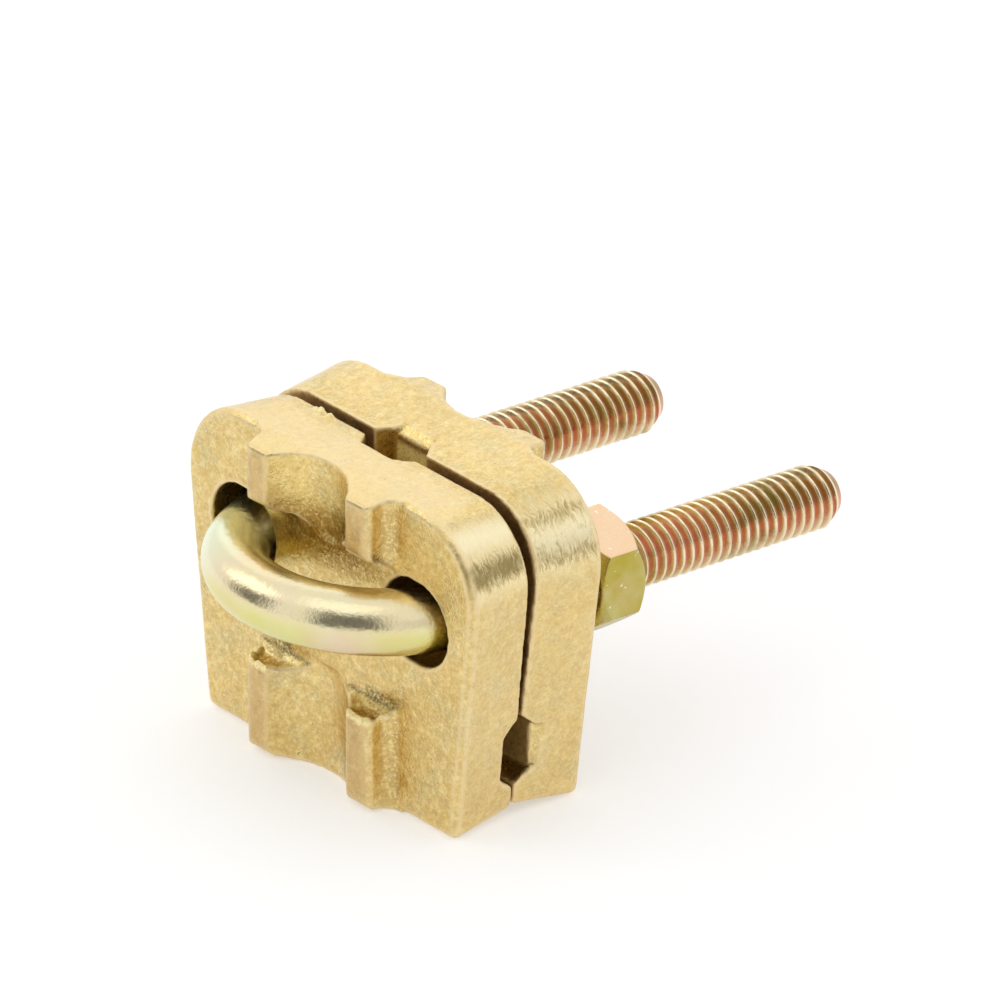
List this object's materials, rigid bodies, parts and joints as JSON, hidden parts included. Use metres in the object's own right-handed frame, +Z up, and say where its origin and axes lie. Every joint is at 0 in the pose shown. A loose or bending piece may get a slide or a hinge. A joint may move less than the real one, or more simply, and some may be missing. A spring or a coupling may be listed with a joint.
{
  "type": "ground rod connector",
  "caption": "Ground rod connector of cast saddles with crossed cable grooves, drawn onto a rod by a threaded U-bolt and hex nuts.",
  "frame": {"origin": "on the axis of the ground rod, level with the foot of the front saddle", "axes": "+Z up along the rod, +Y from the bend of the U-bolt toward the nuts, +X across the two legs"},
  "size_m": [0.0518, 0.0756, 0.0406],
  "materials": {
    "cast_brass": "matte sand casting with worn edges",
    "yellow_zinc": "yellow zinc plating, glossy"
  },
  "bodies": {
    "u_bolt": {"u_bolt": "yellow_zinc"},
    "front_saddle": {"front_saddle": "cast_brass"},
    "rear_saddle": {"rear_saddle": "cast_brass"},
    "left_nut": {"left_nut": "yellow_zinc"},
    "right_nut": {"right_nut": "yellow_zinc"}
  },
  "joints": [
    {"name": "rear_slide", "type": "slide", "parent": "u_bolt", "child": "rear_saddle", "axis": [0, 0.9986, -0.0523], "range_m": [0, 0.024]},
    {"name": "front_slide", "type": "slide", "parent": "u_bolt", "child": "front_saddle", "axis": [0, 0.9986, -0.0523], "range_m": [0, 0.012]},
    {"name": "left_nut_turn", "type": "hinge", "parent": "rear_saddle", "child": "left_nut", "pos_m": [-0.016, 0.03405, 0.02438], "axis": [0, 0.9986, -0.0523], "continuous": true},
    {"name": "right_nut_turn", "type": "hinge", "parent": "rear_saddle", "child": "right_nut", "pos_m": [0.016, 0.03405, 0.02438], "axis": [0, 0.9986, -0.0523], "continuous": true}
  ],
  "couplings": [
    {"joint": "front_slide", "follows": "rear_slide", "ratio": 0.5},
    {"joint": "left_nut_turn", "follows": "rear_slide", "rad_per_m": 4452.6},
    {"joint": "right_nut_turn", "follows": "rear_slide", "rad_per_m": 4452.6}
  ]
}
